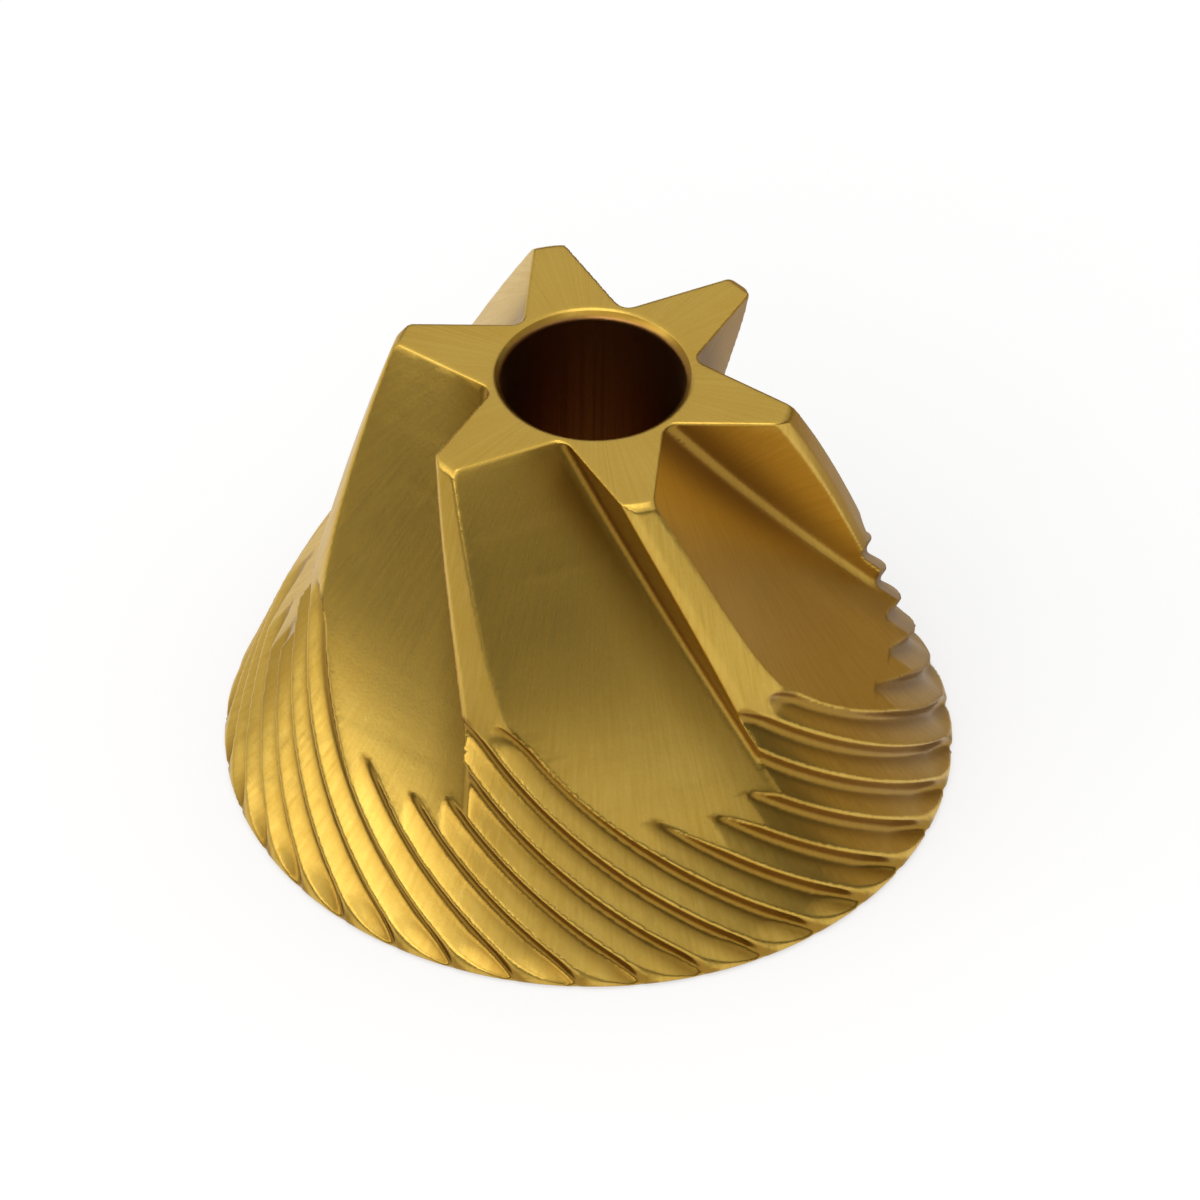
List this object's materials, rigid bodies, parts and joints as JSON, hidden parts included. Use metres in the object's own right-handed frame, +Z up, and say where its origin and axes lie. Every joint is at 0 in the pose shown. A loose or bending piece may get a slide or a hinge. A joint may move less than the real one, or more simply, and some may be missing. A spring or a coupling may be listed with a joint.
{
  "type": "conical coffee grinder burr",
  "caption": "Conical inner burr for a coffee grinder: star-shaped top with twisted crushing blades, fine helical grinding teeth below and a plain through bore for the drive shaft.",
  "frame": {"origin": "centre of the flat base, on the bore's axis", "axes": "+Z up along the bore's axis from the base to the star-shaped top; -Y faces the picture's camera, +X is to its right"},
  "size_m": [0.038, 0.038, 0.0254],
  "materials": {
    "coated_steel": "hardened steel with a satin gold nitride coating over fine milling marks"
  },
  "bodies": {
    "root": {"cone_burr": "coated_steel"}
  },
  "joints": []
}
